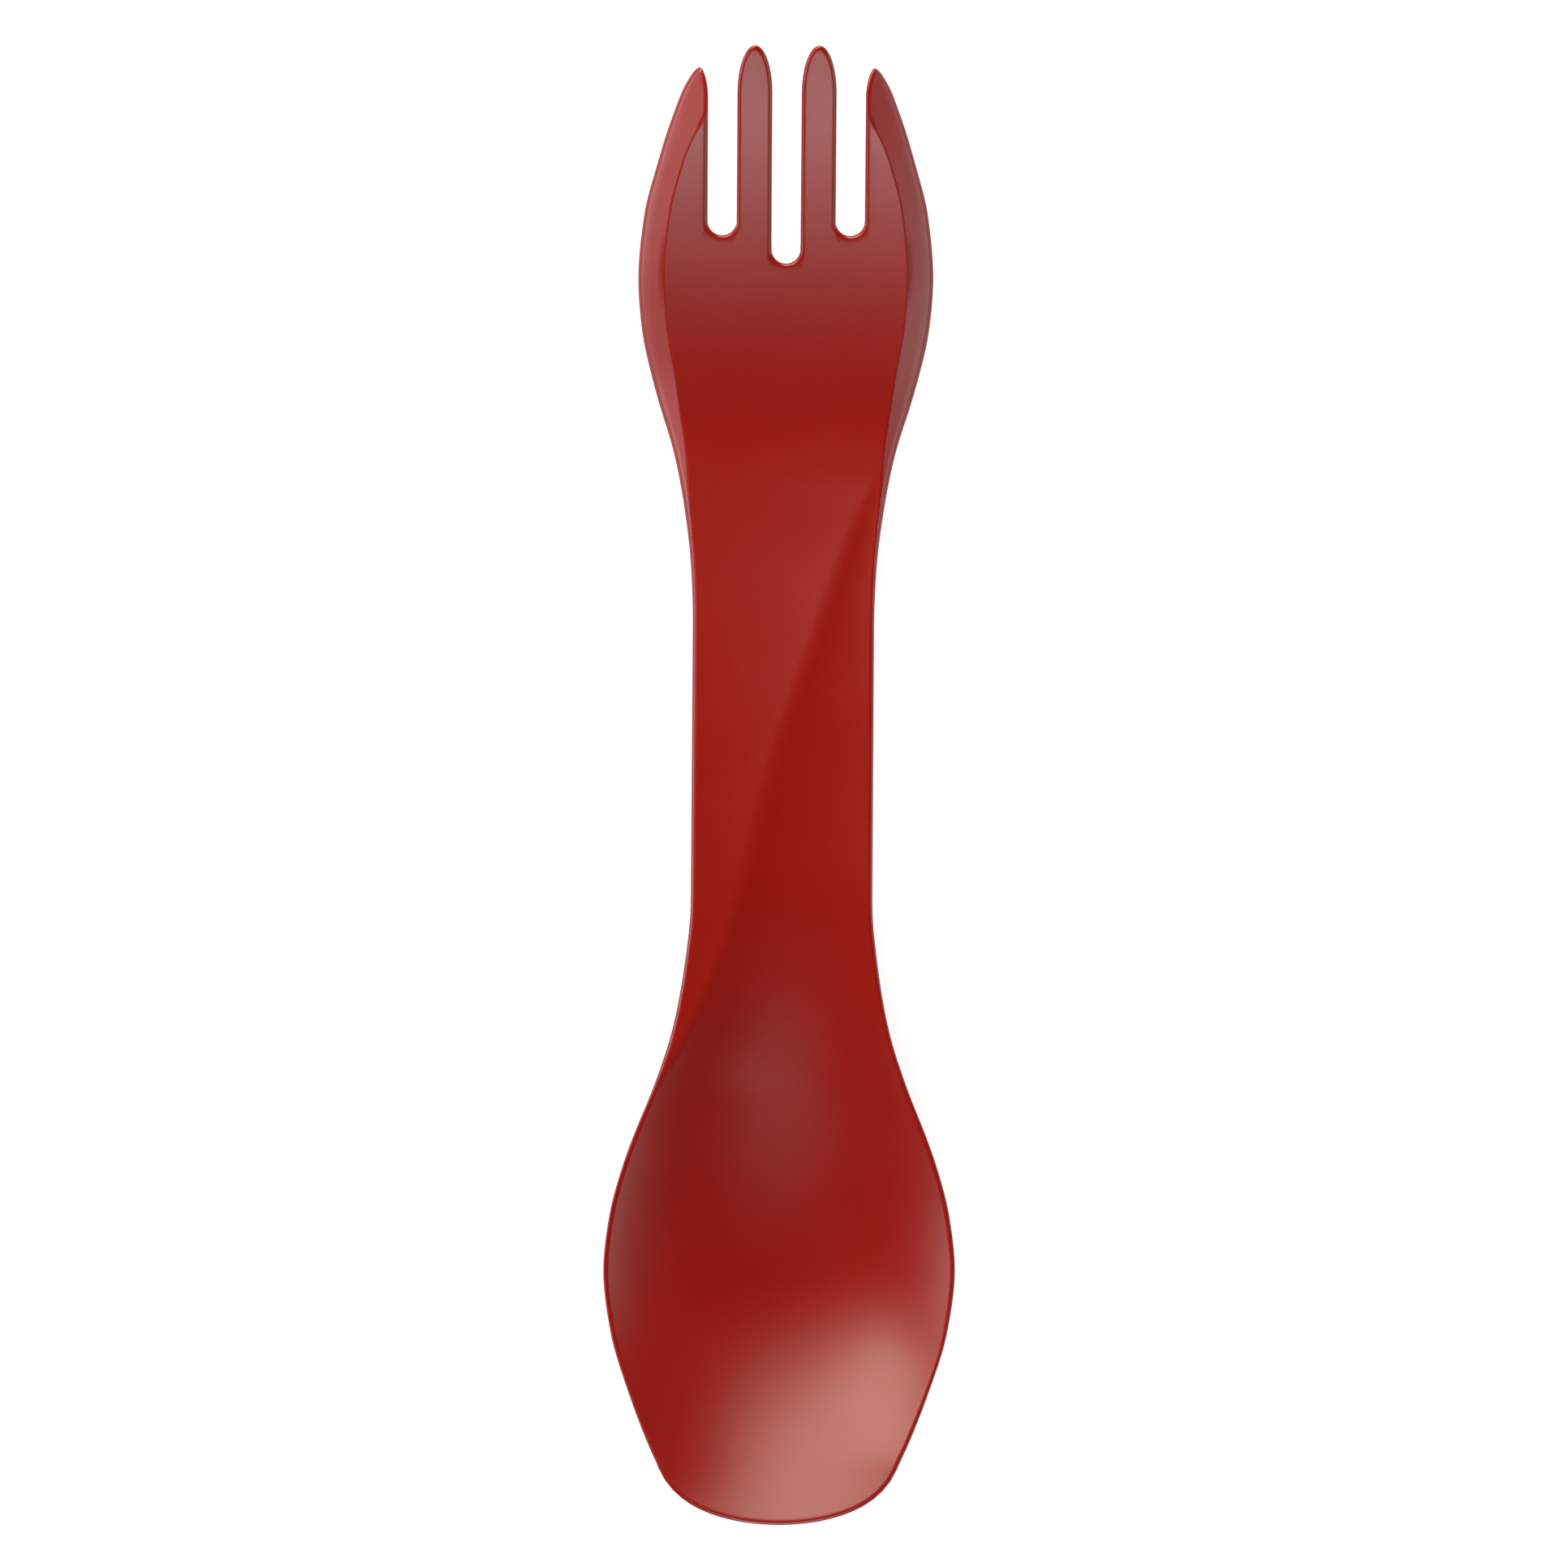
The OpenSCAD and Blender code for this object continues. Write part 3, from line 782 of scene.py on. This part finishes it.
def satin_plastic(finish):
    """Red moulded plastic with a fine grain and a soft, uneven sheen."""
    material = bpy.data.materials.new("Red satin plastic")
    material.use_nodes = True
    board = Board(material.node_tree)
    place = board.add("ShaderNodeTexCoord").output("Object")

    def noise(size, fineness):
        return board.add("ShaderNodeTexNoise", inputs={
            "Vector": place, "Scale": 1 / size, "Detail": NOISE_DETAIL, "Roughness": fineness,
        })

    grain = noise(finish.grain_size, GRAIN_FINENESS)
    clouds = noise(finish.cloud_size, CLOUD_FINENESS)
    uneven = (clouds - NOISE_MEAN) * finish.unevenness
    shade = 1 + uneven + (grain - NOISE_MEAN) * finish.speckle
    along = board.add("ShaderNodeSeparateXYZ", inputs={0: place}).output("Y")

    def step(stretch):
        return board.add(
            "ShaderNodeMapRange", {"interpolation_type": "SMOOTHSTEP"},
            {"Value": along, "From Min": stretch[0], "From Max": stretch[1]},
        )

    polish = (step(POLISH_START) - step(POLISH_END)) * finish.polish
    grey = board.add(
        "ShaderNodeCombineColor", inputs={"Red": shade, "Green": shade, "Blue": shade}
    )
    colour = board.add(
        "ShaderNodeMix", {"data_type": "RGBA", "blend_type": "MULTIPLY"},
        {MIX_FACTOR: 1, MIX_FIRST: (*finish.colour, 1), MIX_SECOND: grey},
        output=MIX_RESULT,
    )
    bump = board.add("ShaderNodeBump", inputs={
        "Height": grain, "Strength": 1.0, "Distance": finish.grain_depth,
    })
    surface = board.add("ShaderNodeBsdfPrincipled", inputs={
        "Base Color": colour,
        "Roughness": finish.roughness + uneven - polish,
        "Normal": bump,
        "IOR": PLASTIC_IOR,
    })
    board.add("ShaderNodeOutputMaterial", inputs={"Surface": surface})
    material.diffuse_color = (*finish.colour, 1)
    return material


def white_floor(studio):
    """White paper that keeps a shadow: part of its white shows without light falling on it."""
    material = bpy.data.materials.new("White paper")
    material.use_nodes = True
    board = Board(material.node_tree)
    ray = board.add("ShaderNodeLightPath")
    mirrored = ray.output("Is Glossy Ray") + ray.output("Is Transmission Ray")
    paper = board.add("ShaderNodeBsdfDiffuse", inputs={
        "Color": (*(level * PAPER_SHARE for level in studio.floor_colour), 1),
    })
    glow = board.add("ShaderNodeEmission", inputs={
        "Strength": ray.output("Is Camera Ray") * FLOOR_GLOW + mirrored * FLOOR_MIRRORED,
    })
    both = board.add("ShaderNodeAddShader", inputs={0: paper, 1: glow})
    board.add("ShaderNodeOutputMaterial", inputs={"Surface": both})
    return material


# Operators


class SPORK_OT_moulding(bpy.types.Operator):
    """Lays out the sheet, gives it its wall and finish, and puts it in the CAD solid's place"""

    bl_idname = "spork.moulding"
    bl_label = "Moulding"

    def execute(self, context):
        size = context.scene.spork_shape
        corners, cells, fields = Form(size).sheet()
        flat = bpy.data.meshes.new("spork_sheet")
        flat.from_pydata(corners.tolist(), [], cells.tolist())
        for name, values in fields.items():
            flat.attributes.new(name, "FLOAT", "POINT").data.foreach_set("value", values)
        sheet = bpy.data.objects.new("spork_sheet", flat)
        context.collection.objects.link(sheet)

        tree, values = wall_nodes(size, satin_plastic(context.scene.spork_finish))
        modifier = sheet.modifiers.new("Wall", "NODES")
        modifier.node_group = tree
        for item in tree.interface.items_tree:
            if item.in_out == "INPUT" and item.name in values:
                modifier[item.identifier] = values[item.name]
        evaluated = sheet.evaluated_get(context.evaluated_depsgraph_get())
        mesh = bpy.data.meshes.new_from_object(evaluated)
        bpy.data.objects.remove(sheet)
        if not mesh.polygons:
            raise RuntimeError("the node tree made no mesh")
        for name in fields:
            mesh.attributes.remove(mesh.attributes[name])
        lowest = min(corner.co.z for corner in mesh.vertices)
        mesh.transform(Matrix.Translation((0, 0, CAD_BOX[0][2] - lowest)))

        moulding = bpy.data.objects.new("spork_moulding", mesh)
        context.collection.objects.link(moulding)
        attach(moulding, "root")
        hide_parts("spork")
        return {"FINISHED"}


class SPORK_OT_stage(bpy.types.Operator):
    """Sets up the white floor, the lamps, the even light and the camera"""

    bl_idname = "spork.stage"
    bl_label = "Studio"

    # The floor's flat part, the rim that turns up round it, and how finely both are divided
    FLOOR_RADIUS = 3.4
    RIM_RADIUS = 0.4
    RIM_STEPS = 10
    FLOOR_SIDES = 96
    # How near and how far the camera sees
    CLIP = (0.01, 10)
    # How far every softbox is from the spork's middle
    LAMP_DISTANCE = 0.6
    # Each softbox: azimuth and elevation in degrees, width and height, colour, its power's name
    LAMPS = {
        "Key softbox": ((114, 37), (0.78, 0.27), (1, 0.93, 0.78), "key_power"),
        "Front softbox": ((270, 38), (0.30, 0.22), (1, 1, 1), "front_power"),
        "Left strip": ((180, 14), (0.40, 0.12), (1, 1, 1), "left_power"),
        "Back strip": ((90, 14), (0.40, 0.12), (1, 1, 1), "back_power"),
        "Right strip": ((348, 14), (0.55, 0.12), (1, 1, 1), "right_power"),
    }

    def execute(self, context):
        studio = context.scene.spork_studio
        self._floor(context, studio)
        for name, (direction, sides, colour, power) in self.LAMPS.items():
            self._lamp(context, name, direction, sides, colour, getattr(studio, power))
        self._sky(context, studio)
        self._camera(context, studio)
        context.scene.view_settings.view_transform = "Standard"
        return {"FINISHED"}

    def _floor(self, context, studio):
        """Round floor whose edge turns up all round, so that a low view sees white too."""
        turn = np.radians(np.linspace(0, 90, self.RIM_STEPS + 1))
        radius = self.FLOOR_RADIUS + self.RIM_RADIUS * np.sin(turn)
        height = self.RIM_RADIUS * (1 - np.cos(turn))
        sides = self.FLOOR_SIDES
        around = np.radians(np.arange(sides) * 360 / sides)
        corners = [
            (out * math.cos(angle), out * math.sin(angle), up)
            for out, up in zip(radius, height) for angle in around
        ]
        cells = [tuple(range(sides))]
        for ring in range(0, self.RIM_STEPS * sides, sides):
            for side in range(sides):
                after = (side + 1) % sides
                cells.append((ring + side, ring + sides + side, ring + sides + after, ring + after))
        mesh = bpy.data.meshes.new("floor")
        mesh.from_pydata(corners, [], cells)
        mesh.materials.append(white_floor(studio))
        floor = bpy.data.objects.new("floor", mesh)
        context.collection.objects.link(floor)

    def _lamp(self, context, name, direction, sides, colour, power):
        """A rectangular softbox that faces the spork and isn't seen itself."""
        azimuth, elevation = np.radians(direction)
        way = Vector((
            math.cos(azimuth) * math.cos(elevation), math.sin(azimuth) * math.cos(elevation),
            math.sin(elevation),
        ))
        lamp = bpy.data.lights.new(name, "AREA")
        lamp.shape = "RECTANGLE"
        lamp.size, lamp.size_y = sides
        lamp.color = colour
        lamp.energy = power
        holder = bpy.data.objects.new(name, lamp)
        holder.location = way * self.LAMP_DISTANCE
        holder.rotation_euler = (-way).to_track_quat("-Z", "Y").to_euler()
        holder.visible_camera = False
        context.collection.objects.link(holder)

    def _sky(self, context, studio):
        """Dim even light from all round."""
        world = bpy.data.worlds.new("Even light")
        context.scene.world = world
        world.use_nodes = True
        board = Board(world.node_tree)
        light = board.add("ShaderNodeBackground", inputs={"Strength": studio.sky})
        board.add("ShaderNodeOutputWorld", inputs={"Surface": light})

    def _camera(self, context, studio):
        """Looks straight down, as in the photograph."""
        camera = bpy.data.cameras.new("Camera")
        camera.lens = camera.sensor_width * studio.camera_distance / studio.frame_width
        camera.clip_start, camera.clip_end = self.CLIP
        holder = bpy.data.objects.new("Camera", camera)
        middle = (CAD_BOX[0][2] + CAD_BOX[1][2]) / 2
        holder.location = (studio.frame_right, studio.frame_up, middle + studio.camera_distance)
        holder.rotation_euler = (0, 0, studio.lean)
        context.collection.objects.link(holder)
        context.scene.camera = holder


class SPORK_PT_sidebar(bpy.types.Panel):
    """Sizes, finish and studio of the spork"""

    bl_idname = "SPORK_PT_sidebar"
    bl_label = "Spork"
    bl_space_type = "VIEW_3D"
    bl_region_type = "UI"
    bl_category = "Spork"

    def draw(self, context):
        for operator, group in PARTS:
            box = self.layout.box()
            box.operator(operator)
            for held in group:
                settings = getattr(context.scene, held)
                for name in settings.__annotations__:
                    box.prop(settings, name)


PARTS = [
    ("spork.moulding", ("spork_shape", "spork_finish")),
    ("spork.stage", ("spork_studio",)),
]
GROUPS = {"spork_shape": SporkShape, "spork_finish": SporkFinish, "spork_studio": SporkStudio}
CLASSES = [*GROUPS.values(), SPORK_OT_moulding, SPORK_OT_stage, SPORK_PT_sidebar]


def register():
    for cls in CLASSES:
        bpy.utils.register_class(cls)
    for name, group in GROUPS.items():
        setattr(bpy.types.Scene, name, PointerProperty(type=group))


def unregister():
    for name in GROUPS:
        delattr(bpy.types.Scene, name)
    for cls in reversed(CLASSES):
        bpy.utils.unregister_class(cls)


def main():
    register()
    bpy.ops.spork.moulding()
    bpy.ops.spork.stage()


if __name__ == "__main__":
    main()
